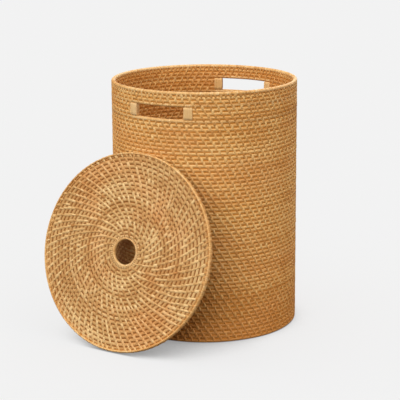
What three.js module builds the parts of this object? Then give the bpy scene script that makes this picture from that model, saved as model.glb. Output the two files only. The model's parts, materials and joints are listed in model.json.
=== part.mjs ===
// A round coiled-rattan laundry basket with two hand slots, and its flat lid leaning against the front.
// Millimetres, +Z up. The origin is the centre of the basket's base, and the front hand slot faces -Y.
import * as THREE from "three";

// Driving dimensions of the basket.
const BASKET_RADIUS = 225;
const BASKET_HEIGHT = 600;
const WALL_THICKNESS = 10;
const GRIP_COURSE_HEIGHT = 8.9;
const COURSES_OVER_SLOT = 4;
const COURSES_BESIDE_SLOT = 3;
const COURSES_UNDER_SLOT = 57;
const WALL_BANDS = 5;

// Driving dimensions of the hand slots. Angles are half widths, in degrees, from the slot's centre line.
const SLOT_HALF_ANGLE = 16;
const BINDING_OUTER_HALF_ANGLE = 21.6;
const BINDING_PROUD = 1;

// Driving dimensions of the lid.
const LID_RADIUS = 234;
const LID_HOLE_RADIUS = 29;
const LID_FIELD_THICKNESS = 9.4;
const LID_EDGE_THICKNESS = 13;
const LID_COURSES = 20;
const LOCATING_RING_CLEARANCE = 3;
const LOCATING_RING_WIDTH = 9;
const LOCATING_RING_DEPTH = 6;

// How the lid leans: its tilt from the vertical, the way it faces and where its centre stands.
const LEAN_DEGREES = 15.8;
const LID_FACING_DEGREES = -4;
const LID_PLACE_DEGREES = -10.4;
const LID_STANDOFF = 291.4;

// How the solids are made.
const FIT_GAP = 0.3;
const ROUND_SEGMENTS = 40;
const ARC_SEGMENTS = 16;
const BINDING_SEGMENTS = 4;

// Sizes worked out from the driving dimensions.
const INNER_RADIUS = BASKET_RADIUS - WALL_THICKNESS;
const SLOT_TOP = BASKET_HEIGHT - COURSES_OVER_SLOT * GRIP_COURSE_HEIGHT;
const COURSE_HEIGHT = SLOT_TOP / (COURSES_BESIDE_SLOT + COURSES_UNDER_SLOT);
const SLOT_BOTTOM = SLOT_TOP - COURSES_BESIDE_SLOT * COURSE_HEIGHT;
const BAND_COURSES = (COURSES_UNDER_SLOT - 2) / WALL_BANDS;
const LID_COURSE_WIDTH = (BASKET_RADIUS - LID_HOLE_RADIUS) / LID_COURSES;
const DEGREE = Math.PI / 180;

// Materials: plain stitched cane, wrapped cane, pale binding cane and the brighter lid.
const stitchedCane = new THREE.MeshStandardMaterial({ color: 0xc9925a, roughness: 0.6, metalness: 0 });
const wrappedCane = new THREE.MeshStandardMaterial({ color: 0xd9ab70, roughness: 0.5, metalness: 0 });
const bindingCane = new THREE.MeshStandardMaterial({ color: 0xdcb888, roughness: 0.5, metalness: 0 });
const lidCane = new THREE.MeshStandardMaterial({ color: 0xcf9c63, roughness: 0.6, metalness: 0 });

function named(name, geometry, material) {
  const mesh = new THREE.Mesh(geometry, material);
  mesh.name = name;
  return mesh;
}

// A solid of revolution about Z from an anticlockwise outline of [radius, height] points.
function turned(outline) {
  const points = outline.map(([radius, height]) => new THREE.Vector2(radius, height));
  return new THREE.LatheGeometry(points, ROUND_SEGMENTS).rotateX(Math.PI / 2);
}

// A round plate with a plain edge.
function disc(radius, bottom, top) {
  return turned([[0, bottom], [radius, bottom], [radius, top], [0, top]]);
}

// A flat-sided ring, such as a band of several courses.
function ring(inner, outer, bottom, top) {
  const corner = [outer, bottom];
  return turned([corner, [outer, top], [inner, top], [inner, bottom], corner]);
}

// One course of coil: a ring whose four corners are cut off, which keeps flat faces all round.
function coil(inner, outer, bottom, top) {
  const cut = 0.3 * Math.min(outer - inner, top - bottom);
  const start = [outer, bottom + cut];
  return turned([
    start,
    [outer, top - cut],
    [outer - cut, top],
    [inner + cut, top],
    [inner, top - cut],
    [inner, bottom + cut],
    [inner + cut, bottom],
    [outer - cut, bottom],
    start,
  ]);
}

// A stretch of ring between two angles, in degrees, measured from +X towards +Y.
function arc(inner, outer, bottom, top, from, to, segments) {
  const outline = new THREE.Shape();
  outline.absarc(0, 0, outer, from * DEGREE, to * DEGREE, false);
  outline.absarc(0, 0, inner, to * DEGREE, from * DEGREE, true);
  const options = { depth: top - bottom, bevelEnabled: false, curveSegments: segments };
  return new THREE.ExtrudeGeometry(outline, options).translate(0, 0, bottom);
}

// The base: a flat coil in four zones, inside the foot course.
function addBase(basket) {
  const zones = [
    ["base_coil_inner", 3, 10],
    ["base_coil_middle", 10, 17],
    ["base_coil_outer", 17, INNER_RADIUS / COURSE_HEIGHT],
  ];
  const top = COURSE_HEIGHT - FIT_GAP;
  basket.add(named("base_centre", disc(3 * COURSE_HEIGHT - FIT_GAP, 0, top), stitchedCane));
  for (const [name, first, last] of zones) {
    const zone = ring(first * COURSE_HEIGHT, last * COURSE_HEIGHT - FIT_GAP, 0, top);
    basket.add(named(name, zone, stitchedCane));
  }
}

// The wall below the slots: the foot course, five bands of courses and the wrapped sill course.
function addLowerWall(basket) {
  const foot = coil(INNER_RADIUS, BASKET_RADIUS, 0, COURSE_HEIGHT - FIT_GAP);
  basket.add(named("foot_course", foot, stitchedCane));
  for (let band = 0; band < WALL_BANDS; band++) {
    const bottom = (1 + band * BAND_COURSES) * COURSE_HEIGHT;
    const top = bottom + BAND_COURSES * COURSE_HEIGHT - FIT_GAP;
    const solid = ring(INNER_RADIUS, BASKET_RADIUS, bottom, top);
    basket.add(named("wall_band_" + (band + 1), solid, stitchedCane));
  }
  const sill = coil(INNER_RADIUS, BASKET_RADIUS, SLOT_BOTTOM - COURSE_HEIGHT, SLOT_BOTTOM - FIT_GAP);
  basket.add(named("sill_course", sill, wrappedCane));
}

// The three courses level with the slots: a side wall on each side, and a binding at each slot end.
function addSlotZone(basket) {
  const top = SLOT_TOP - FIT_GAP;
  const gapAngle = FIT_GAP / INNER_RADIUS / DEGREE;
  const sideHalfAngle = 90 - BINDING_OUTER_HALF_ANGLE - gapAngle;
  for (const [side, centre] of [["right", 0], ["left", 180]]) {
    const from = centre - sideHalfAngle;
    const to = centre + sideHalfAngle;
    const wall = arc(INNER_RADIUS, BASKET_RADIUS, SLOT_BOTTOM, top, from, to, ARC_SEGMENTS);
    basket.add(named("side_wall_" + side, wall, stitchedCane));
  }
  const inner = INNER_RADIUS - BINDING_PROUD;
  const outer = BASKET_RADIUS + BINDING_PROUD;
  const ends = [
    ["slot_binding_front_right", 270 + SLOT_HALF_ANGLE],
    ["slot_binding_front_left", 270 - BINDING_OUTER_HALF_ANGLE],
    ["slot_binding_back_right", 90 - BINDING_OUTER_HALF_ANGLE],
    ["slot_binding_back_left", 90 + SLOT_HALF_ANGLE],
  ];
  for (const [name, from] of ends) {
    const to = from + BINDING_OUTER_HALF_ANGLE - SLOT_HALF_ANGLE;
    const block = arc(inner, outer, SLOT_BOTTOM, top, from, to, BINDING_SEGMENTS);
    basket.add(named(name, block, bindingCane));
  }
}

// The grip over the slots: the wrapped header course, two stitched courses and the wrapped rim.
function addGrip(basket) {
  const courses = [
    ["header_course", wrappedCane],
    ["grip_course_lower", stitchedCane],
    ["grip_course_upper", stitchedCane],
    ["rim_coil", wrappedCane],
  ];
  courses.forEach(([name, material], index) => {
    const bottom = SLOT_TOP + index * GRIP_COURSE_HEIGHT;
    const gap = name === "rim_coil" ? 0 : FIT_GAP;
    const top = bottom + GRIP_COURSE_HEIGHT - gap;
    basket.add(named(name, coil(INNER_RADIUS, BASKET_RADIUS, bottom, top), material));
  });
}

// The lid, face up, with its underside at height 0: the face that lies on the basket's rim.
function makeLid() {
  const lid = new THREE.Group();
  const edgeInner = BASKET_RADIUS + FIT_GAP;
  const edgeDrop = (LID_EDGE_THICKNESS - LID_FIELD_THICKNESS) / 2;
  const edge = coil(edgeInner, LID_RADIUS, -edgeDrop, LID_FIELD_THICKNESS + edgeDrop);
  const radiusAt = (course) => LID_HOLE_RADIUS + course * LID_COURSE_WIDTH;
  const holeRing = coil(LID_HOLE_RADIUS, radiusAt(1) - FIT_GAP, 0, LID_FIELD_THICKNESS);
  lid.add(named("lid_edge_coil", edge, wrappedCane));
  lid.add(named("lid_hole_ring", holeRing, wrappedCane));
  const zones = [
    ["lid_coil_inner", radiusAt(1), radiusAt(7) - FIT_GAP],
    ["lid_coil_middle", radiusAt(7), radiusAt(13) - FIT_GAP],
    ["lid_coil_outer", radiusAt(13), edgeInner - FIT_GAP],
  ];
  for (const [name, inner, outer] of zones) {
    lid.add(named(name, ring(inner, outer, 0, LID_FIELD_THICKNESS), lidCane));
  }
  const ringOuter = INNER_RADIUS - LOCATING_RING_CLEARANCE;
  const locating = coil(ringOuter - LOCATING_RING_WIDTH, ringOuter, -LOCATING_RING_DEPTH, -FIT_GAP);
  lid.add(named("lid_locating_ring", locating, wrappedCane));
  return lid;
}

// Stands the lid on its edge in front of the basket, tilted back until it all but touches the wall.
function leanLid(lid) {
  const tilted = new THREE.Group();
  tilted.rotation.x = (90 - LEAN_DEGREES) * DEGREE;
  tilted.add(lid);
  const standing = new THREE.Group();
  standing.rotation.z = LID_FACING_DEGREES * DEGREE;
  standing.position.x = LID_STANDOFF * Math.sin(LID_PLACE_DEGREES * DEGREE);
  standing.position.y = -LID_STANDOFF * Math.cos(LID_PLACE_DEGREES * DEGREE);
  standing.add(tilted);
  standing.updateMatrixWorld(true);
  standing.position.z = -new THREE.Box3().setFromObject(standing, true).min.z;
  return standing;
}

const basket = new THREE.Group();
addBase(basket);
addLowerWall(basket);
addSlotZone(basket);
addGrip(basket);

const laundryBasket = new THREE.Group();
laundryBasket.add(basket);
laundryBasket.add(leanLid(makeLid()));

export default laundryBasket;
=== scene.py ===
"""A coiled rattan laundry basket and its leaning lid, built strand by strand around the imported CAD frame."""

import json
import math

import bpy
import numpy as np
from mathutils import Matrix, Vector


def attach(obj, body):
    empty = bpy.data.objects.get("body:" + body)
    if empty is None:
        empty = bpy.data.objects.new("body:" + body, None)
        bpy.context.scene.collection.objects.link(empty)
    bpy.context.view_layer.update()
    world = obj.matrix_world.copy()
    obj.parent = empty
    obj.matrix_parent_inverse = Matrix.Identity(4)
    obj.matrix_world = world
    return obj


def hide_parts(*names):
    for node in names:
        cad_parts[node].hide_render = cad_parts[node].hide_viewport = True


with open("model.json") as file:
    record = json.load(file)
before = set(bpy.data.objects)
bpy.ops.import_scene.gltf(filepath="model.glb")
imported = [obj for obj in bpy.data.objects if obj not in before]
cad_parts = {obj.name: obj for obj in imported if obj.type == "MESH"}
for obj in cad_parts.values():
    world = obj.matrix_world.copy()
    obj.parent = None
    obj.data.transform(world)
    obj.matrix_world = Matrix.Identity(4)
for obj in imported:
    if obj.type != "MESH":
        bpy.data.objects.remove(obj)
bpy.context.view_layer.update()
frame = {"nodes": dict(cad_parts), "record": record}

MM = 0.001
FULL_TURN = 2 * math.pi

# Lengths are in metres. A tone is 0 for a material's palest strand and 1 for its brownest. The flat coils are
# the lid and the base, and a course is one turn of coil.

# The canes that the courses are made of, and the darker core canes in the grooves between them.
WALL_CANE_SHARE = 0.94          # a cane's width, as a share of its course
FLAT_CANE_SHARE = 0.92
CORE_SHARE = 0.46
WALL_CORE_DEPTH_SHARE = 0.76    # a core cane's depth, as a share of the depth of the wall's canes
FLAT_CORE_DEPTH_SHARE = 0.49    # and as a share of the thickness of a flat coil
WALL_CANE_INSET = 0.45 * MM     # how far the canes lie under the stitches that cross them
FLAT_CANE_INSET = 0.85 * MM
FLATNESS = 0.72                 # below 1, a cane's face is flatter than a circle
WAVER = 0.28 * MM               # how far a course wanders from its true place
WANDER_WAVES = (2, 3, 5, 9, 14)  # the waves round a turn that the wandering is made of
WAVE_HEIGHTS = (0.2, 1.0)
WANDER_HEIGHT = 3               # about how high those waves can add up
WAVER_IN_DEPTH = 0.4            # how far the wall's courses wander in and out, as a share of WAVER
WIDTH_SWELL = 0.03              # how much a cane thickens and thins along its length
DEPTH_SWELL = 0.02
FLAT_WAVE_STRETCH = 2.3         # how much slower the wandering is along a flat coil
CANE_SEGMENT = 9.5 * MM
CHECKS_PER_TURN = 60            # how finely a flat coil's length is added up
CANE_SIDES = 8
CORE_SIDES = 6
CANE_LENGTH = 2.1               # how far round a flat coil one cane reaches
COURSE_GROWTH = 1.035           # above 1, the lid's inner courses are narrower than its outer ones
TAPER = 0.12                    # how much of a turn is missing where a flat coil tapers away at either end
BASE_START = 0.6 * MM
FLOOR_CLEARANCE = 0.8 * MM      # keeps the base's lowest stitches off the floor

# The split-cane stitches.
STITCH_PITCH = 18.0 * MM        # from one stitch to the next along a course
STITCH_WIDTH = 6.4 * MM
STITCH_THICKNESS = 1.8 * MM
WALL_ROW_SHIFT = 0.36           # how far each course's stitches step sideways, in stitch pitches
WALL_STITCH_LEAN = -1.2 * MM    # sideways travel of a stitch from one course to the next
WALL_STITCH_JITTER = 0.80 * MM
# The stitches also drift sideways in waves: how many round the wall, their size, and their advance per row.
WALL_STITCH_DRIFTS = ((3, 0.9 * MM, 0.35), (7, 0.8 * MM, -0.22))
RIM_STITCH_PITCH = 11.5 * MM    # the stitches are closer together under the rim
LID_STITCH_PITCH = 14.0 * MM
LID_WIDEST_GAP = 21.5 * MM      # a new spoke of stitches starts where two have drifted this far apart
LID_GAP_SPREAD = (0.88, 1.06)   # the random shares of that gap at which it happens
LID_STITCH_WIDTH = 7.2 * MM
LID_STITCH_THICKNESS = 1.9 * MM
LID_ROW_SHIFT = 5.5 * MM
LID_STITCH_LEAN = 3.6 * MM
LID_STITCH_JITTER = 0.35 * MM
SPOKE_JITTER = 0.12             # in spoke gaps, where the spokes start
SPOKE_EVENING = 0.16            # how much a stitch moves towards the middle of its gap in each turn
STITCH_PATH = (-0.66, -0.44, 0.0, 0.44, 0.66)   # along the stitch, in course heights from the groove
WALL_SINK = (-1.5, -0.05, -0.30, -0.05, -1.5)   # how far out each of those points lies, in millimetres
LID_SINK = (-1.5, 0.15, -0.15, 0.15, -1.5)
# The left half of a stitch's section, in half widths and half thicknesses.
CROWN_HALF = ((-1.0, -0.9), (-0.75, 0.1), (-0.35, 0.8))
STITCH_SIZES = (0.72, 1.28)     # the narrowest and widest stitch, as shares of the usual width
STITCH_PROUD = 0.12 * MM        # how unevenly the stitches stand out
LEAN_SPREAD = 0.45 * MM

# The split cane wound all over the rim, the rings, the slot bindings and the courses over and under a slot.
WRAP_WIDTH = 4.4 * MM
WRAP_SLANT = 1.2 * MM
WRAP_STATIONS = 4               # points along the course for each turn of the winding
WRAP_SIDES = 12
RIDGE_DEPTH = 0.55 * MM
RIDGE_SPREAD = (0.6, 1.3)
RIDGE_SHARPNESS = 1.5
END_DIP = 2.2                   # how far an open end closes in, in ridge depths
RIM_SHARE = 0.49                # half a wound course, as a share of the course
SLEEVE_SHARE = 0.47
EDGE_COIL_SHARE = 0.72          # how much of the lid's edge coil the last course leaves to be seen
HOLE_RING_SHARE = 0.70          # and how much of the ring round the hole the first one leaves
HOLE_STITCH_PITCH = 4.7 * MM
HOLE_STITCH_SHARE = 0.55        # a stitch's width there, as a share of its pitch
HOLE_STITCH_REACH = 0.8         # the length of its path, as a share of the usual
HOLE_WRAP_SLANT = 0.8 * MM
BINDING_WRAP_WIDTH = 3.6 * MM
BINDING_SQUARENESS = 7.0        # 2 is an ellipse, and more is squarer
BINDING_SIDES = 28
BINDING_OVERHANG = 0.6 * MM     # how far a binding stands over and under its courses
BINDING_INSET = 0.5 * MM
SLOT_MARGIN = 0.3               # in stitch widths, between a binding and the next stitch

# Tones.
WALL_CANE_TONE = 0.42
FLAT_CANE_TONE = 0.48
CANE_TONE_SPREAD = 0.10
EDGE_CORE_TONE = 0.5            # the core cane between the lid's last course and its edge coil
TONE_DRIFT = 0.16               # how far a cane's tone drifts along its length
STITCH_TONE = 0.42
RUN_SPREAD = 0.17               # how the tone changes where a new strand of stitches is let in
RUN_LENGTHS = (10, 46)          # the stitches in a run
STITCH_SPREAD = 0.18
WALL_STITCH_SHIFT = 0.06        # how much browner the stitches are than that on the wall
LID_STITCH_SHIFT = -0.10        # and on the flat coils
HOLE_STITCH_SHIFT = -0.2
ON_WRAPPED_SHIFT = 0.18         # plain canes and stitches are this much browner on a piece in the paler cane
BACK_PAINTED_SHADE = 0.30               # painted shade: how much browner the back of the work (the basket's inside, the lid's back, the base's underside) is than its face
LOW_PAINTED_SHADE = 0.72                # painted shade: how much browner the wall is made at the floor, where shade falls
LOW_SHADE_REACH = 0.30                # and how far up that painted shade reaches
RING_PALENESS = 0.12            # how much paler the windings of the rim and the hole ring are
BINDING_PALENESS = 0.05
PAINTED_GROOVE_SHADE = 0.38             # painted shade: how much of the groove's colour is put on the shoulders of a cane, where the groove's shade falls
SHOULDER = 0.72                 # where a cane's shoulder and its painted shade start, as a share of its half width
# painted shade: how much of the groove's colour lies in the dips between a winding's ridges
PAINTED_RIDGE_SHADE = 0.30

WALL_SEED = 11
SLEEVE_SEED = 23
BINDING_SEED = 31
LID_RINGS_SEED = 41
LID_COIL_SEED = 43
BASE_SEED = 47


# ---------------------------------------------------------------- the frame, read once

def slot_of(node):
    for row in frame["record"]["subparts"]:
        if row["node"] == node:
            return row["material_slot"]
    return None


def body_of(node):
    for body, members in frame["record"]["behaviour"]["bodies"].items():
        if node in members:
            return body
    return None


def node_points(node):
    mesh = frame["nodes"][node].data
    flat = np.zeros(len(mesh.vertices) * 3)
    mesh.vertices.foreach_get("co", flat)
    return flat.reshape(-1, 3)


def angle_from(angle, centre):
    return (angle - centre + math.pi) % FULL_TURN - math.pi


class Extents:
    """A CAD node's reach in round coordinates: radius, height and, for a short arc, angle from a centre."""

    def __init__(self, node, local=None, centre_angle=0.0):
        points = node_points(node)
        if local is not None:
            points = (points - local[1]) @ local[0]
        radius = np.hypot(points[:, 0], points[:, 1])
        angle = angle_from(np.arctan2(points[:, 1], points[:, 0]), centre_angle)
        self.inner, self.outer = radius.min(), radius.max()
        self.bottom, self.top = points[:, 2].min(), points[:, 2].max()
        self.first_angle, self.last_angle = angle.min(), angle.max()


def lid_axes():
    """The lid's own axes as a rotation's columns (right, up the face and outwards), and its centre."""
    node = "lid_coil_inner"
    widest = max(frame["nodes"][node].data.polygons, key=lambda face: face.area)
    normal = np.array(widest.normal)
    if normal[2] < 0:
        normal = -normal
    up = np.array([0.0, 0.0, 1.0]) - normal * normal[2]
    up = up / np.linalg.norm(up)
    right = np.cross(up, normal)
    points = node_points(node)
    centre = (points.min(0) + points.max(0)) / 2
    return np.stack([right, up, normal], axis=1), centre


LID = lid_axes()
WALL = Extents("wall_band_1")
MID_RADIUS = (WALL.inner + WALL.outer) / 2
HALF_WALL = (WALL.outer - WALL.inner) / 2
FRONT = -math.pi / 2
BACK = math.pi / 2
BINDING = Extents("slot_binding_front_right", centre_angle=FRONT)
SLOT_HALF_ANGLE = BINDING.first_angle
BINDING_END_ANGLE = BINDING.last_angle


# ---------------------------------------------------------------- places and pieces

def wall_place(angle, stack, depth):
    """A point on the wall: courses stack upwards and depth runs outwards."""
    radius = MID_RADIUS + depth
    height = stack + np.zeros_like(radius * angle)
    return np.stack([radius * np.cos(angle), radius * np.sin(angle), height], axis=-1)


def disc_place(mid_height, axes=None):
    """A place function for a flat coil: courses stack outwards and depth runs up from its middle plane."""
    def place(angle, stack, depth):
        height = mid_height + depth + np.zeros_like(stack * angle)
        local = np.stack([stack * np.cos(angle), stack * np.sin(angle), height], axis=-1)
        return local if axes is None else local @ axes[0].T + axes[1]
    return place


class Piece:
    """Collects the strands of one piece and makes one mesh of them."""

    def __init__(self):
        self.points, self.strands, self.tones, self.core_and_shade_shares = [], [], [], []
        self.quads, self.caps = [], []
        self.count = 0

    def add(self, points, along, across, tone, core, closed=True):
        """points is (copies, stations, sides, 3), and along and across are lengths on the strand. A closed
        strand joins up, and an open one is capped."""
        copies, stations, sides, _ = points.shape
        shape = points.shape[:3]
        index = np.arange(copies * stations * sides).reshape(shape)
        ahead = np.roll(index, -1, axis=1)
        quads = np.stack([index, ahead, np.roll(ahead, -1, axis=2), np.roll(index, -1, axis=2)], axis=-1)
        caps = np.zeros((0, sides), int)
        if not closed:
            quads = quads[:, :-1]
            caps = np.concatenate([index[:, 0], index[:, -1, ::-1]])
        quads = quads.reshape(-1, 4)
        if signed_volume(points.reshape(-1, 3), index, closed) < 0:
            quads, caps = quads[:, ::-1], caps[:, ::-1]
        seed = np.random.default_rng(self.count).uniform(0, 50, (copies, 1, 1))
        strand = [np.broadcast_to(value, shape) for value in (along, across, seed)]
        self.points.append(points.reshape(-1, 3))
        self.strands.append(np.stack(strand, axis=-1).reshape(-1, 3))
        self.tones.append(np.broadcast_to(tone, shape).reshape(-1))
        # core: 1 on a core cane, and a part on cane shoulders and ridge dips as painted shade
        self.core_and_shade_shares.append(np.broadcast_to(core, shape).reshape(-1))
        self.quads.append(quads + self.count)
        self.caps.append(caps + self.count)
        self.count += copies * stations * sides

    def build(self, name, material):
        mesh = bpy.data.meshes.new(name)
        faces = self.quads + self.caps
        loops = np.concatenate([group.reshape(-1) for group in faces])
        sizes = np.concatenate([np.full(len(group), group.shape[1]) for group in faces])
        starts = np.concatenate([[0], np.cumsum(sizes)[:-1]])
        mesh.vertices.add(self.count)
        mesh.vertices.foreach_set("co", np.concatenate(self.points).astype(np.float32).ravel())
        mesh.loops.add(len(loops))
        mesh.loops.foreach_set("vertex_index", loops.astype(np.int32))
        mesh.polygons.add(len(sizes))
        mesh.polygons.foreach_set("loop_start", starts.astype(np.int32))
        mesh.update(calc_edges=True)
        mesh.shade_smooth()
        for label, kind, field, values in (
            ("strand", "FLOAT_VECTOR", "vector", self.strands),
            ("tone", "FLOAT", "value", self.tones),
            ("core", "FLOAT", "value", self.core_and_shade_shares),
        ):
            attribute = mesh.attributes.new(label, kind, "POINT")
            attribute.data.foreach_set(field, np.concatenate(values).astype(np.float32).ravel())
        mesh.materials.append(material)
        piece = bpy.data.objects.new(name, mesh)
        bpy.context.scene.collection.objects.link(piece)
        return piece


def signed_volume(points, index, closed):
    """Six times the volume inside the first copy of a strand, negative if its faces point inwards."""
    first = index[0]
    ahead = np.roll(first, -1, axis=0)
    beside = np.roll(first, -1, axis=1)
    across = np.roll(ahead, -1, axis=1)
    middle = points[first].mean(axis=(0, 1))
    a, b, c, d = (points[i] - middle for i in (first, ahead, across, beside))
    volume = np.einsum("...i,...i", a, np.cross(b, c)) + np.einsum("...i,...i", a, np.cross(c, d))
    return volume.sum() if closed else volume[:-1].sum()


# ---------------------------------------------------------------- strands

def wander(angle, size, random):
    """A gentle wave along a course."""
    total = np.zeros_like(angle)
    for waves in WANDER_WAVES:
        total = total + np.sin(waves * angle + random.uniform(0, FULL_TURN)) * random.uniform(*WAVE_HEIGHTS)
    return total * size / WANDER_HEIGHT


def section_turns(sides):
    return ((np.arange(sides) + 0.5) / sides * FULL_TURN)[None, None, :]


def flat_cosine(turn):
    """How far out a cane's surface stands, round its section."""
    cosine = np.cos(turn)
    return np.sign(cosine) * np.abs(cosine) ** FLATNESS


def core_colour_and_painted_shade(turn, core):
    """How much of the groove's colour a section takes: all round on a core cane, and as painted shade on other
    canes' shoulders.
    """
    shoulder = np.clip((np.abs(np.sin(turn)) - SHOULDER) / (1 - SHOULDER), 0, 1)
    return core + (1 - core) * PAINTED_GROOVE_SHADE * shoulder


def add_ring(piece, place, radius, stack, half_stack, half_depth, tone, core, random, sides, span=None):
    """One cane bent round the whole course, or along the span of angles given."""
    start, end = span or (0.0, FULL_TURN)
    segments = max(24, round((end - start) * radius / CANE_SEGMENT))
    stations = np.linspace(start, end, segments + 1)
    closed = span is None
    if closed:
        stations = stations[:-1] + random.uniform(0, FULL_TURN)
    angle = stations[None, :, None]
    turn = section_turns(sides)
    slow = wander(angle, 1.0, random)
    rise = stack + wander(angle, WAVER, random) + half_stack * np.sin(turn) * (1 + WIDTH_SWELL * slow)
    out = half_depth * flat_cosine(turn) * (1 + DEPTH_SWELL * slow)
    out = out + wander(angle, WAVER_IN_DEPTH * WAVER, random)
    # painted shade: the back of the cane is made browner
    tone = tone + TONE_DRIFT * slow + BACK_PAINTED_SHADE * (out < 0)
    shade = core_colour_and_painted_shade(turn, core)
    piece.add(place(angle, rise, out), angle * radius, turn * half_stack, tone, shade, closed)


def runs_of_tone(count, random):
    """One tone for each stitch in turn. A strand's tone holds for a run of stitches, with small changes."""
    tones = np.zeros(count)
    at = 0
    while at < count:
        run = int(random.integers(*RUN_LENGTHS))
        tones[at:at + run] = random.normal(STITCH_TONE, RUN_SPREAD)
        at += run
    return np.clip(tones + random.normal(0, STITCH_SPREAD, count), 0, 1)


def crowned_section():
    """A stitch's section, from edge to edge over its crown."""
    left = np.array(CROWN_HALF)
    return np.concatenate([left, [(0.0, 1.0)], left[::-1] * (-1, 1)])


def add_stitches(piece, place, radius, groove, pitch, half_depth, angles, lean, random,
                 width=STITCH_WIDTH, thickness=STITCH_THICKNESS, sinks=WALL_SINK, shift=0.0):
    """A closed loop of split cane round the groove for each angle, over one face and back over the other."""
    if len(angles) == 0:
        return
    path = np.array(STITCH_PATH) * pitch
    sink = np.array(sinks) * MM
    section = crowned_section()[None, None, :]
    stack = np.concatenate([path, path[::-1]])
    side = np.repeat([1.0, -1.0], len(path))
    depth = side * (half_depth - thickness / 2 + np.concatenate([sink, sink[::-1]]))
    copies = len(angles)
    size = random.uniform(*STITCH_SIZES, (copies, 1, 1))
    proud = random.normal(0, STITCH_PROUD / MM, (copies, 1, 1)) * MM
    lean = lean + random.normal(0, LEAN_SPREAD / MM, (copies, 1, 1)) * MM
    leaning = lean * (stack / pitch)[None, :, None]
    sideways = section[..., 0] * size * width / 2 + leaning
    lifted = section[..., 1] * thickness / 2 + proud
    angle = angles[:, None, None] + sideways / radius
    out = depth[None, :, None] + side[None, :, None] * lifted
    rise = groove + stack[None, :, None] + np.zeros_like(angle)
    along = np.concatenate([path, path[::-1] + 2 * pitch])[None, :, None]
    across = section[..., 0] * width / 2
    # painted shade: the back half of the loop is made browner
    tone = runs_of_tone(copies, random)[:, None, None] + shift + BACK_PAINTED_SHADE * (side < 0)[None, :, None]
    piece.add(place(angle, rise, out), along, across, tone, 0.0)


def add_wrapped(piece, place, radius, stack, half_stack, half_depth, random, span=None, squareness=2.0,
                sides=WRAP_SIDES, slant=WRAP_SLANT, width=WRAP_WIDTH, pale=0.0):
    """A course wound all over with split cane: each turn of the winding shows as one low ridge."""
    start, end = span or (0.0, FULL_TURN)
    wraps = max(4, round((end - start) * radius / width))
    closed = span is None
    total = wraps * WRAP_STATIONS + (0 if closed else 1)
    turns = np.arange(total) / WRAP_STATIONS
    wrap = np.floor(turns).astype(int)
    dip = (1 - np.sin(math.pi * (turns % 1.0))) ** RIDGE_SHARPNESS * RIDGE_DEPTH
    dip = dip * random.uniform(*RIDGE_SPREAD, wraps + 1)[wrap]
    if not closed:
        dip[0] = dip[-1] = END_DIP * RIDGE_DEPTH
    angle = (start + turns / wraps * (end - start))[None, :, None]
    turn = section_turns(sides)
    sine, cosine = np.sin(turn), np.cos(turn)
    rounded = (np.abs(sine) ** squareness + np.abs(cosine) ** squareness) ** (-1 / squareness)
    rise = stack + sine * rounded * (half_stack - dip[None, :, None])
    out = cosine * rounded * (half_depth - dip[None, :, None])
    points = place(angle + slant * sine / radius, rise, out)
    tone = runs_of_tone(wraps + 1, random)[wrap] - pale
    # painted shade in the dips between ridges and at the open ends
    shade = PAINTED_RIDGE_SHADE * (dip / RIDGE_DEPTH).clip(0, 1)
    piece.add(points, turn * half_stack, angle * radius, tone[None, :, None], shade[None, :, None], closed)


# ---------------------------------------------------------------- materials

# How fine each noise is, in waves per metre. Grain and mottle run along and across a strand.
GRAIN_SCALE = (70, 1500, 1)
MOTTLE_SCALE = (45, 180, 1)
DRIFT_SCALE = (11, 11, 16)
GRAIN_SWING = 0.45              # how much each one moves the tone
MOTTLE_SWING = 0.50
DRIFT_SWING = 0.70
MIDDLE_TONE = 0.48              # where the middle colour of the three tones lies
PATCH_START = 0.47              # the noise value where a patch of redder cane starts
PATCH_SLOPE = 2.2
CANE_SPECULAR = 0.22
ROUGHNESS_SWING = 0.25
GRAIN_DEPTH = 0.25 * MM


class Shading:
    """A new material and short ways to add nodes to it."""

    def __init__(self, name):
        self.material = bpy.data.materials.new(name)
        self.material.use_nodes = True
        self.nodes = self.material.node_tree.nodes
        self.link = self.material.node_tree.links.new
        self.inputs = self.nodes["Principled BSDF"].inputs

    def attribute(self, label):
        node = self.nodes.new("ShaderNodeAttribute")
        node.attribute_name = label
        return node.outputs

    def maths(self, operation, first, second):
        node = self.nodes.new("ShaderNodeMath")
        node.operation = operation
        for socket, value in zip(node.inputs, (first, second)):
            if isinstance(value, (int, float)):
                socket.default_value = value
            else:
                self.link(value, socket)
        return node.outputs[0]

    def noise(self, vector, scale, detail):
        mapping = self.nodes.new("ShaderNodeMapping")
        mapping.inputs["Scale"].default_value = scale
        self.link(vector, mapping.inputs["Vector"])
        node = self.nodes.new("ShaderNodeTexNoise")
        node.inputs["Scale"].default_value = 1.0
        node.inputs["Detail"].default_value = detail
        self.link(mapping.outputs[0], node.inputs["Vector"])
        return node.outputs["Fac"]

    def swing(self, value, size):
        return self.maths("MULTIPLY", self.maths("SUBTRACT", value, 0.5), size)

    def blend(self, factor, first, second):
        node = self.nodes.new("ShaderNodeMix")
        node.data_type = "RGBA"
        node.inputs["B"].default_value = (*second, 1)
        self.link(factor, node.inputs["Factor"])
        self.link(first, node.inputs["A"])
        return node.outputs["Result"]

    def ramp(self, value, colours):
        node = self.nodes.new("ShaderNodeValToRGB")
        elements = node.color_ramp.elements
        elements[0].color = (*colours[0], 1)
        elements[1].color = (*colours[2], 1)
        elements.new(MIDDLE_TONE).color = (*colours[1], 1)
        self.link(value, node.inputs["Fac"])
        return node.outputs["Color"]


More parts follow.
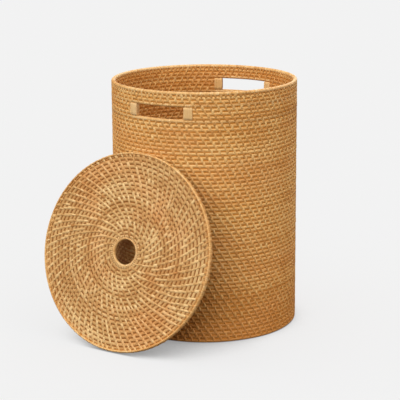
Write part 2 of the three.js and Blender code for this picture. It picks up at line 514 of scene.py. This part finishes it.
def cane_material(name, tones, core, patches, blush, roughness, streak):
    """Split cane. tones runs from the palest strand to the brownest, and core is the colour of the core canes
    in the grooves, also used as painted shade on cane shoulders and between winding ridges. Redder cane comes
    in patches. patches is how quickly they change along x, y and z, and blush is their limit."""
    cane = Shading(name)
    strand = cane.attribute("strand")["Vector"]
    place = cane.nodes.new("ShaderNodeTexCoord").outputs["Object"]
    grain = cane.noise(strand, GRAIN_SCALE, 4)
    mottle = cane.noise(strand, MOTTLE_SCALE, 2)
    tone = cane.maths("ADD", cane.attribute("tone")["Fac"], cane.swing(grain, GRAIN_SWING))
    tone = cane.maths("ADD", tone, cane.swing(mottle, MOTTLE_SWING))
    tone = cane.maths("ADD", tone, cane.swing(cane.noise(place, DRIFT_SCALE, 2), DRIFT_SWING))
    red = cane.maths("SUBTRACT", cane.noise(place, patches, 3), PATCH_START)
    red = cane.maths("MAXIMUM", cane.maths("MULTIPLY", red, PATCH_SLOPE), 0.0)
    red = cane.maths("MINIMUM", red, blush)
    colour = cane.blend(red, cane.ramp(tone, tones), BLUSH_TONE)
    # the core colour, on the core canes and as painted shade on shoulders and ridge dips
    colour = cane.blend(cane.attribute("core")["Fac"], colour, core)
    cane.link(colour, cane.inputs["Base Color"])
    cane.link(cane.maths("ADD", cane.swing(mottle, ROUGHNESS_SWING), roughness), cane.inputs["Roughness"])
    cane.inputs["Specular IOR Level"].default_value = CANE_SPECULAR
    bump = cane.nodes.new("ShaderNodeBump")
    bump.inputs["Strength"].default_value = streak
    bump.inputs["Distance"].default_value = GRAIN_DEPTH
    cane.link(grain, bump.inputs["Height"])
    cane.link(bump.outputs["Normal"], cane.inputs["Normal"])
    return cane.material


WALL_CORE = (0.52, 0.20, 0.024)
LID_CORE = (0.26, 0.088, 0.011)
BLUSH_TONE = (0.60, 0.255, 0.078)
WALL_TONES = ((0.77, 0.51, 0.215), (0.665, 0.375, 0.125), (0.50, 0.225, 0.055))
LID_TONES = ((0.71, 0.495, 0.235), (0.52, 0.302, 0.112), (0.37, 0.166, 0.042))
WRAPPED_TONES = ((0.73, 0.52, 0.26), (0.655, 0.40, 0.155), (0.49, 0.245, 0.072))
BINDING_TONES = ((0.76, 0.54, 0.28), (0.70, 0.47, 0.215), (0.60, 0.36, 0.13))
WALL_PATCHES = (4, 4, 14)
LID_PATCHES = (9, 9, 9)
MATERIALS = {
    "rattan_wall": cane_material("wall_cane", WALL_TONES, WALL_CORE, WALL_PATCHES,
                                 blush=0.30, roughness=0.52, streak=0.35),
    "rattan_wrapped": cane_material("wrapped_cane", WRAPPED_TONES, WALL_CORE, WALL_PATCHES,
                                    blush=0.20, roughness=0.46, streak=0.30),
    "rattan_binding": cane_material("binding_cane", BINDING_TONES, WALL_CORE, WALL_PATCHES,
                                    blush=0.10, roughness=0.42, streak=0.25),
    "rattan_lid": cane_material("lid_cane", LID_TONES, LID_CORE, LID_PATCHES,
                                blush=0.50, roughness=0.52, streak=0.35),
}


def finish_piece(piece, node):
    made = piece.build(node + "_cane", MATERIALS[slot_of(node)])
    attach(made, body_of(node))
    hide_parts(node)
    return made


# ---------------------------------------------------------------- the wall

WALL_NODES = ["foot_course"] + ["wall_band_%d" % (band + 1) for band in range(5)] + ["sill_course"]
GRIP_NODES = ["header_course", "grip_course_lower", "grip_course_upper", "rim_coil"]
SIDE_NODES = ["side_wall_right", "side_wall_left"]
COURSE_HEIGHT = Extents("sill_course").top - Extents("sill_course").bottom
WALL_STITCHES = round(FULL_TURN * WALL.outer / STITCH_PITCH)
RIM_STITCHES = round(FULL_TURN * WALL.outer / RIM_STITCH_PITCH)


def course_heights(node):
    """The middle height of each course that a wall node stands for."""
    reach = Extents(node)
    count = max(1, round((reach.top - reach.bottom) / COURSE_HEIGHT))
    pitch = (reach.top - reach.bottom) / count
    return [reach.bottom + (row + 0.5) * pitch for row in range(count)]


def wall_rows():
    """Every course of the wall from the floor up, as (nodes that hold it, its height)."""
    groups = [[node] for node in WALL_NODES] + [SIDE_NODES] + [[node] for node in GRIP_NODES]
    return [(nodes, height) for nodes in groups for height in course_heights(nodes[0])]


def side_span(node):
    """The angles that a side wall's canes run between: they end inside the bindings."""
    tuck = (SLOT_HALF_ANGLE + BINDING_END_ANGLE) / 2
    if node == "side_wall_right":
        return FRONT + tuck, BACK - tuck
    return BACK + tuck, BACK + math.pi - tuck


def tone_shift(node, height):
    """How much browner than usual a course is: more on the paler-cane pieces, and painted shade near the
    floor.
    """
    wrapped = ON_WRAPPED_SHIFT if slot_of(node) == "rattan_wrapped" else 0.0
    return wrapped + LOW_PAINTED_SHADE * max(0.0, 1 - height / LOW_SHADE_REACH) ** 2


def clear_of_slots(angles):
    """Leaves out what would stand in a hand slot or its bindings."""
    margin = SLOT_MARGIN * STITCH_WIDTH / MID_RADIUS
    for centre in (FRONT, BACK):
        angles = angles[np.abs(angle_from(angles, centre)) > BINDING_END_ANGLE + margin]
    return angles


def wall_stitch_angles(row, random, count):
    """The stitches under one course: evenly spaced, a step aside from those below, and a little uneven."""
    angles = (np.arange(count) - row * WALL_ROW_SHIFT) * FULL_TURN / count
    drift = sum(size * np.sin(waves * angles + advance * row) for waves, size, advance in WALL_STITCH_DRIFTS)
    return angles + (drift + random.normal(0, WALL_STITCH_JITTER, count)) / MID_RADIUS


def add_course(piece, node, height, gap_below, tone, random, span):
    """One course: the rim is wound all over, and the rest are plain canes."""
    if node == "rim_coil":
        add_wrapped(piece, wall_place, MID_RADIUS, height, RIM_SHARE * gap_below, HALF_WALL, random,
                    pale=RING_PALENESS)
    else:
        add_ring(piece, wall_place, MID_RADIUS, height, WALL_CANE_SHARE * gap_below / 2,
                 HALF_WALL - WALL_CANE_INSET, tone, 0.0, random, CANE_SIDES, span)


def add_groove_cores(piece, groove, gap_below, tone, random, spans):
    """The core canes in the groove under a course."""
    core_depth = WALL_CORE_DEPTH_SHARE * (HALF_WALL - WALL_CANE_INSET)
    for span in spans:
        add_ring(piece, wall_place, MID_RADIUS, groove, CORE_SHARE * gap_below / 2, core_depth, tone, 1.0,
                 random, CORE_SIDES, span)


def build_wall():
    rows = wall_rows()
    pieces = {}
    for row, (nodes, height) in enumerate(rows):
        nodes_below, height_below = rows[row - 1] if row else (nodes, height - COURSE_HEIGHT)
        gap_below = height - height_below
        groove = (height + height_below) / 2
        beside_slots = max(len(nodes), len(nodes_below)) > 1
        for node in nodes:
            random = np.random.default_rng([WALL_SEED, row, len(node)])
            piece = pieces.setdefault(node, Piece())
            shift = tone_shift(node, height)
            tone = random.normal(WALL_CANE_TONE, CANE_TONE_SPREAD) + shift
            span = side_span(node) if len(nodes) > 1 else None
            add_course(piece, node, height, gap_below, tone, random, span)
            if not row:
                continue
            over_slots = beside_slots and span is None
            spans = [side_span(side) for side in SIDE_NODES] if over_slots else [span]
            add_groove_cores(piece, groove, gap_below, tone, random, spans)
            angles = wall_stitch_angles(row, random, RIM_STITCHES if node == "rim_coil" else WALL_STITCHES)
            if beside_slots:
                angles = clear_of_slots(angles)
            if span:
                angles = angles[(angles - span[0]) % FULL_TURN < span[1] - span[0]]
            add_stitches(piece, wall_place, MID_RADIUS, groove, gap_below, HALF_WALL, angles,
                         WALL_STITCH_LEAN, random, shift=WALL_STITCH_SHIFT + shift)
    add_sleeves(pieces)
    for node, piece in pieces.items():
        finish_piece(piece, node)


def add_sleeves(pieces):
    """The header and sill courses are wound all over where they pass a hand slot and its bindings."""
    for node in ("header_course", "sill_course"):
        height = course_heights(node)[0]
        for number, centre in enumerate((FRONT, BACK)):
            random = np.random.default_rng([SLEEVE_SEED, number, len(node)])
            span = (centre - BINDING_END_ANGLE, centre + BINDING_END_ANGLE)
            add_wrapped(pieces[node], wall_place, MID_RADIUS, height, SLEEVE_SHARE * COURSE_HEIGHT, HALF_WALL,
                        random, span)


def build_bindings():
    """The bound ends of the courses beside each hand slot: flat cane laid up and down over all of them."""
    for centre, word in ((FRONT, "front"), (BACK, "back")):
        for number, side in enumerate(("left", "right")):
            node = "slot_binding_%s_%s" % (word, side)
            reach = Extents(node, centre_angle=centre)
            random = np.random.default_rng([BINDING_SEED, number, len(word)])
            piece = Piece()
            height = (reach.bottom + reach.top) / 2
            half_stack = (reach.top - reach.bottom) / 2 + BINDING_OVERHANG
            half_depth = (reach.outer - reach.inner) / 2
            inset = BINDING_INSET / MID_RADIUS
            span = (centre + reach.first_angle + inset, centre + reach.last_angle - inset)
            add_wrapped(piece, wall_place, MID_RADIUS, height, half_stack, half_depth, random, span,
                        BINDING_SQUARENESS, BINDING_SIDES, 0.0, BINDING_WRAP_WIDTH, BINDING_PALENESS)
            finish_piece(piece, node)


# ---------------------------------------------------------------- flat coils: the lid and the base

class Spiral:
    """A flat coil. Turn 0 is where its first groove leaves the inner circle. It winds outwards clockwise."""

    def __init__(self, edges):
        self.edges = edges
        self.courses = len(edges) - 1
        self.pitch = (edges[-1] - edges[0]) / self.courses

    def groove(self, turn):
        return np.interp(turn, np.arange(self.courses + 1), self.edges)

    def middle(self, turn):
        return (self.groove(turn - 1) + self.groove(turn)) / 2

    def cane_half_width(self, turn):
        return FLAT_CANE_SHARE * (self.groove(turn) - self.groove(turn - 1)) / 2

    def core_half_width(self, turn):
        return np.full_like(turn, CORE_SHARE * self.pitch / 2)

    def turn_of_middle(self, radius):
        return np.interp(radius, self.edges, np.arange(self.courses + 1)) + 0.5


def spread_along(radius_at, first, last):
    """Turn numbers from first to last, evenly spaced along the strand, and the length up to each of them."""
    fine = np.linspace(first, last, round((last - first) * CHECKS_PER_TURN) + 2)
    steps = np.diff(fine) * FULL_TURN * radius_at(fine[1:])
    length = np.append(0.0, np.cumsum(steps))
    even = np.linspace(0.0, length[-1], max(12, round(length[-1] / CANE_SEGMENT)))
    return np.interp(even, length, fine), even


def add_winding(piece, place, radius_at, half_width_at, first, last, half_depth, core, random, sides):
    """One cane wound round and round, with new lengths of a slightly different tone let in along the way."""
    turns, along = spread_along(radius_at, first, last)
    canes = np.floor(along / CANE_LENGTH + random.uniform(0, 1)).astype(int)
    tones = random.normal(FLAT_CANE_TONE, CANE_TONE_SPREAD, canes.max() + 1)[canes]
    angle = -FULL_TURN * turns
    slow = wander(angle / FLAT_WAVE_STRETCH, 1.0, random)
    turn = section_turns(sides)
    half_width = half_width_at(turns)[None, :, None]
    rise = (radius_at(turns) + WAVER * slow)[None, :, None] + half_width * np.sin(turn)
    out = half_depth * flat_cosine(turn) * (1 + DEPTH_SWELL * slow[None, :, None])
    # painted shade: the back of the cane is made browner
    tone = (tones + TONE_DRIFT * slow)[None, :, None] + BACK_PAINTED_SHADE * (out < 0)
    points = place(angle[None, :, None], rise, out)
    piece.add(points, along[None, :, None], turn * half_width, tone, core_colour_and_painted_shade(turn, core), False)


def spoke_turns(spiral, random):
    """The turn numbers of the stitches, one array for each turn. Each stitch stands beside the one a turn
    before it, and a new spoke starts wherever two have drifted too far apart."""
    count = max(6, round(FULL_TURN * spiral.groove(0.5) / LID_STITCH_PITCH))
    turns = (np.arange(count) + random.normal(0, SPOKE_JITTER, count)) / count
    rows = []
    for _ in range(spiral.courses + 1):
        around = FULL_TURN * spiral.groove(turns)
        gaps = np.diff(np.append(turns, turns[0] + 1))
        wide = gaps * around > LID_WIDEST_GAP * random.uniform(*LID_GAP_SPREAD, len(gaps))
        turns = np.sort(np.concatenate([turns, turns[wide] + gaps[wide] / 2]))
        gaps = np.diff(np.append(turns, turns[0] + 1))
        turns = turns + SPOKE_EVENING * (gaps - np.roll(gaps, 1))
        around = FULL_TURN * spiral.groove(turns)
        rows.append(turns + random.normal(0, LID_STITCH_JITTER, len(turns)) / around)
        turns = turns + 1 - LID_ROW_SHIFT / FULL_TURN / spiral.groove(turns + 1)
    return rows


def add_lid_stitches(piece, place, groove, pitch, half_depth, angles, random, shift=LID_STITCH_SHIFT):
    groove = (groove + np.zeros_like(angles))[:, None, None]
    add_stitches(piece, place, groove, groove, pitch, half_depth, angles, LID_STITCH_LEAN, random,
                 LID_STITCH_WIDTH, LID_STITCH_THICKNESS, LID_SINK, shift)


def build_flat_coil(spiral, zones, place, half_depth, seed):
    """Winds the spiral. zones is a list of (CAD node, outer radius) from the middle out. Returns the pieces,
    and the angles of the stitches that hold the outermost course."""
    random = np.random.default_rng(seed)
    rows = spoke_turns(spiral, random)
    stitches = np.concatenate(rows)
    core_depth = FLAT_CORE_DEPTH_SHARE * half_depth
    pieces = {}
    start = TAPER
    for node, outer in zones:
        last_zone = node == zones[-1][0]
        end = spiral.courses + 1 - TAPER if last_zone else spiral.turn_of_middle(outer)
        piece = pieces[node] = Piece()
        add_winding(piece, place, spiral.middle, spiral.cane_half_width, start, end,
                    half_depth - FLAT_CANE_INSET, 0.0, random, CANE_SIDES)
        add_winding(piece, place, spiral.groove, spiral.core_half_width, start, min(end, spiral.courses),
                    core_depth, 1.0, random, CORE_SIDES)
        first_stitch, last_stitch = max(start, 0.5), min(end, spiral.courses - 0.5)
        chosen = stitches[(stitches >= first_stitch) & (stitches < last_stitch)]
        grooves = spiral.groove(chosen)
        add_lid_stitches(piece, place, grooves, spiral.pitch, half_depth, -FULL_TURN * chosen, random)
        start = end
    return pieces, -FULL_TURN * rows[-1]


def lid_spiral(hole, edge):
    """The lid's coil, from the ring round its hole to its edge coil."""
    first = hole.inner + HOLE_RING_SHARE * (hole.outer - hole.inner)
    last = edge.outer - EDGE_COIL_SHARE * (edge.outer - edge.inner)
    courses = round((last - first) / (hole.outer - hole.inner))
    share = np.linspace(0, 1, courses + 1) ** COURSE_GROWTH
    return Spiral(first + (last - first) * share)


def wound_ring(place, inner, outer, half_depth, random, **winding):
    piece = Piece()
    middle = (inner + outer) / 2
    add_wrapped(piece, place, middle, middle, (outer - inner) / 2, half_depth, random, **winding)
    return piece


def hole_ring(place, hole, spiral, half_depth, random):
    """The ring round the finger hole, with its own close stitches into the first course."""
    first = spiral.edges[0]
    ring = wound_ring(place, hole.inner, first, half_depth, random, slant=HOLE_WRAP_SLANT, pale=RING_PALENESS)
    count = round(FULL_TURN * first / HOLE_STITCH_PITCH)
    angles = np.arange(count) * FULL_TURN / count
    add_stitches(ring, place, first, first, HOLE_STITCH_REACH * spiral.pitch, half_depth, angles, 0.0, random,
                 HOLE_STITCH_SHARE * HOLE_STITCH_PITCH, shift=HOLE_STITCH_SHIFT)
    return ring


def edge_coil(place, edge, spiral, half_depth, angles, random):
    """The thicker coil round the lid, with the groove and stitches that join it to the last course."""
    last = spiral.edges[-1]
    coil = wound_ring(place, last, edge.outer, (edge.top - edge.bottom) / 2, random)
    add_ring(coil, place, last, last, CORE_SHARE * spiral.pitch / 2, FLAT_CORE_DEPTH_SHARE * half_depth,
             EDGE_CORE_TONE, 1.0, random, CORE_SIDES)
    add_lid_stitches(coil, place, last, spiral.pitch, half_depth, angles, random, ON_WRAPPED_SHIFT)
    return coil


def build_lid():
    reach = {node: Extents(node, LID) for node in frame["record"]["behaviour"]["bodies"]["lid"]}
    hole, edge, under = (reach[node] for node in ("lid_hole_ring", "lid_edge_coil", "lid_locating_ring"))
    half_depth = (hole.top - hole.bottom) / 2
    place = disc_place(0.0, LID)
    low_place = disc_place((under.bottom + under.top) / 2, LID)
    spiral = lid_spiral(hole, edge)
    zones = [(node, reach[node].outer) for node in ("lid_coil_inner", "lid_coil_middle", "lid_coil_outer")]
    pieces, edge_angles = build_flat_coil(spiral, zones, place, half_depth, LID_COIL_SEED)
    random = np.random.default_rng(LID_RINGS_SEED)
    pieces["lid_hole_ring"] = hole_ring(place, hole, spiral, half_depth, random)
    pieces["lid_edge_coil"] = edge_coil(place, edge, spiral, half_depth, edge_angles, random)
    under_depth = (under.top - under.bottom) / 2
    pieces["lid_locating_ring"] = wound_ring(low_place, under.inner, under.outer, under_depth, random)
    for node, piece in pieces.items():
        finish_piece(piece, node)


def build_base():
    nodes = ("base_centre", "base_coil_inner", "base_coil_middle", "base_coil_outer")
    reach = {node: Extents(node) for node in nodes}
    centre = reach["base_centre"]
    half_depth = (centre.top - centre.bottom) / 2 - FLOOR_CLEARANCE
    place = disc_place((centre.top + centre.bottom) / 2)
    edge = reach["base_coil_outer"].outer
    spiral = Spiral(np.linspace(BASE_START, edge, round(edge / COURSE_HEIGHT) + 1))
    zones = [(node, reach[node].outer) for node in nodes]
    pieces, _ = build_flat_coil(spiral, zones, place, half_depth, BASE_SEED)
    for node, piece in pieces.items():
        finish_piece(piece, node)


# ---------------------------------------------------------------- floor, light and camera

FLOOR_SIZE = 80
BACKDROP_SHARE = 0.96       # how far out the backdrop wall stands, as a share of half the floor
BACKDROP_SIDES = 96
BACKDROP = 0.889            # the brightness of the plain backdrop
SKY_AT_HORIZON = 0.26       # the soft light all round grows from here
SKY_OVERHEAD = 1.45         # to here
HORIZON_TINT = (1.0, 0.62, 0.38)
OVERHEAD_TINT = (1.0, 0.96, 0.91)
SKY_CURVE = 2.0
FLOOR_BOUNCE = 0.15         # how much of the floor's brightness is light reflected from the sky

# The contact shadow: how far round a floor point looks for cover, how open it is where the shadow ends and
# where it is darkest, and what is left of the light there.
CONTACT_REACH = 0.30
CONTACT_OPEN = 0.64
CONTACT_CLOSED = 0.25
CONTACT_LIGHT = 0.34

# Lamps: strength, tint, spread, degrees round from the camera, and degrees up.
KEY = (2.52, (1.0, 0.995, 0.98), 70, -38, 36)
FILL = (1.18, (1.0, 0.93, 0.83), 40, 66, 10)
REAR = (0.95, (1.0, 0.96, 0.91), 40, 158, 24)

CAMERA_AZIMUTH = 28.52      # degrees round from the front slot, towards +X
CAMERA_REACH = 15.37        # in basket radii, along the floor
CAMERA_RISE = 5.048         # in basket radii
CAMERA_PAN = -0.20          # degrees off the basket's axis
CAMERA_TILT = -13.68        # degrees from level
CAMERA_ROLL = -0.37         # degrees
CAMERA_LENS = 129.5         # millimetres
SENSOR_WIDTH = 36           # millimetres
CAMERA_SIGHT = 200          # how far the camera sees, in metres


def tinted(strength, tint):
    return [strength * part for part in tint]


def stage_material(name, colour):
    """A matt surface that also gives off white light of its own."""
    shading = Shading(name)
    shading.inputs["Base Color"].default_value = (*colour, 1)
    shading.inputs["Specular IOR Level"].default_value = 0.0
    shading.inputs["Emission Color"].default_value = (1, 1, 1, 1)
    return shading


def build_stage():
    """A pale floor with an even light of its own, so that it stays plain and has only contact shadows."""
    bpy.ops.mesh.primitive_plane_add(size=FLOOR_SIZE)
    floor = bpy.context.object
    floor.name = "floor"
    horizon = tinted(SKY_AT_HORIZON, HORIZON_TINT)
    overhead = tinted(SKY_OVERHEAD, OVERHEAD_TINT)
    albedo = [FLOOR_BOUNCE * BACKDROP * 2 / (low + high) for low, high in zip(horizon, overhead)]
    shading = stage_material("pale_floor", albedo)
    shading.inputs["Roughness"].default_value = 1.0
    cover = shading.nodes.new("ShaderNodeAmbientOcclusion")
    cover.inputs["Distance"].default_value = CONTACT_REACH
    shade = shading.nodes.new("ShaderNodeMapRange")
    shade.inputs["From Min"].default_value = CONTACT_CLOSED
    shade.inputs["From Max"].default_value = CONTACT_OPEN
    shade.inputs["To Min"].default_value = (1 - FLOOR_BOUNCE) * BACKDROP * CONTACT_LIGHT
    shade.inputs["To Max"].default_value = (1 - FLOOR_BOUNCE) * BACKDROP
    shading.link(cover.outputs["AO"], shade.inputs["Value"])
    shading.link(shade.outputs["Result"], shading.inputs["Emission Strength"])
    floor.data.materials.append(shading.material)
    floor.light_linking.receiver_collection = lit_group("lit_by_floor", floor, "INCLUDE")
    return floor


def build_backdrop():
    """A plain wall round the edge of the floor. Only the camera sees it, so it doesn't light the object."""
    bpy.ops.mesh.primitive_cylinder_add(
        vertices=BACKDROP_SIDES, radius=BACKDROP_SHARE * FLOOR_SIZE / 2, depth=FLOOR_SIZE,
        end_fill_type="NOTHING")
    backdrop = bpy.context.object
    backdrop.name = "backdrop"
    shading = stage_material("pale_backdrop", (0, 0, 0))
    shading.inputs["Emission Strength"].default_value = BACKDROP
    backdrop.data.materials.append(shading.material)
    backdrop.visible_diffuse = False
    backdrop.visible_glossy = False
    backdrop.visible_shadow = False


def lit_group(name, member, state):
    """A light's list of what it lights: only the member (INCLUDE), or everything but the member (EXCLUDE)."""
    group = bpy.data.collections.new(name)
    group.objects.link(member)
    group.collection_objects[0].light_linking.link_state = state
    return group


def build_sky():
    """A soft light from all round, dim and warm at the horizon and bright overhead."""
    world = bpy.data.worlds.new("studio")
    bpy.context.scene.world = world
    world.use_nodes = True
    nodes, links = world.node_tree.nodes, world.node_tree.links
    background = nodes["Background"]
    background.inputs["Strength"].default_value = 1.0
    split = nodes.new("ShaderNodeSeparateXYZ")
    links.new(nodes.new("ShaderNodeTexCoord").outputs["Generated"], split.inputs["Vector"])
    rise = nodes.new("ShaderNodeMath")
    rise.operation = "POWER"
    rise.use_clamp = True
    rise.inputs[1].default_value = SKY_CURVE
    links.new(split.outputs["Z"], rise.inputs[0])
    sky = nodes.new("ShaderNodeMix")
    sky.data_type = "RGBA"
    sky.inputs["A"].default_value = (*tinted(SKY_AT_HORIZON, HORIZON_TINT), 1)
    sky.inputs["B"].default_value = (*tinted(SKY_OVERHEAD, OVERHEAD_TINT), 1)
    links.new(rise.outputs[0], sky.inputs["Factor"])
    links.new(sky.outputs["Result"], background.inputs["Color"])


def build_lamp(name, lamp_values, floor):
    """A big soft lamp far away, which lights the object and leaves the floor plain."""
    strength, tint, spread, turn, rise = lamp_values
    light = bpy.data.lights.new(name, "SUN")
    light.energy = strength
    light.angle = math.radians(spread)
    light.color = tint
    lamp = bpy.data.objects.new(name, light)
    bpy.context.scene.collection.objects.link(lamp)
    turn, rise = math.radians(CAMERA_AZIMUTH + turn), math.radians(rise)
    towards = Vector((math.sin(turn) * math.cos(rise), -math.cos(turn) * math.cos(rise), math.sin(rise)))
    lamp.rotation_euler = towards.to_track_quat("Z", "Y").to_euler()
    lamp.light_linking.receiver_collection = lit_group("not_lit_by_" + name, floor, "EXCLUDE")


def build_camera():
    data = bpy.data.cameras.new("camera")
    data.lens = CAMERA_LENS
    data.sensor_width = SENSOR_WIDTH
    data.clip_end = CAMERA_SIGHT
    camera = bpy.data.objects.new("camera", data)
    bpy.context.scene.collection.objects.link(camera)
    around = math.radians(CAMERA_AZIMUTH)
    away = Vector((math.sin(around), -math.cos(around), 0)) * CAMERA_REACH * WALL.outer
    heading = Matrix.Rotation(around - math.radians(CAMERA_PAN), 3, "Z")
    aim = heading @ Matrix.Rotation(math.radians(90 + CAMERA_TILT), 3, "X")
    aim = aim @ Matrix.Rotation(math.radians(CAMERA_ROLL), 3, "Z")
    camera.matrix_world = aim.to_4x4()
    camera.location = away + Vector((0, 0, CAMERA_RISE * WALL.outer))
    bpy.context.scene.camera = camera


build_camera()
build_sky()
stage = build_stage()
build_backdrop()
build_lamp("key", KEY, stage)
build_lamp("fill", FILL, stage)
build_lamp("rear", REAR, stage)
build_wall()
build_bindings()
build_lid()
build_base()
bpy.context.scene.view_settings.view_transform = "Standard"
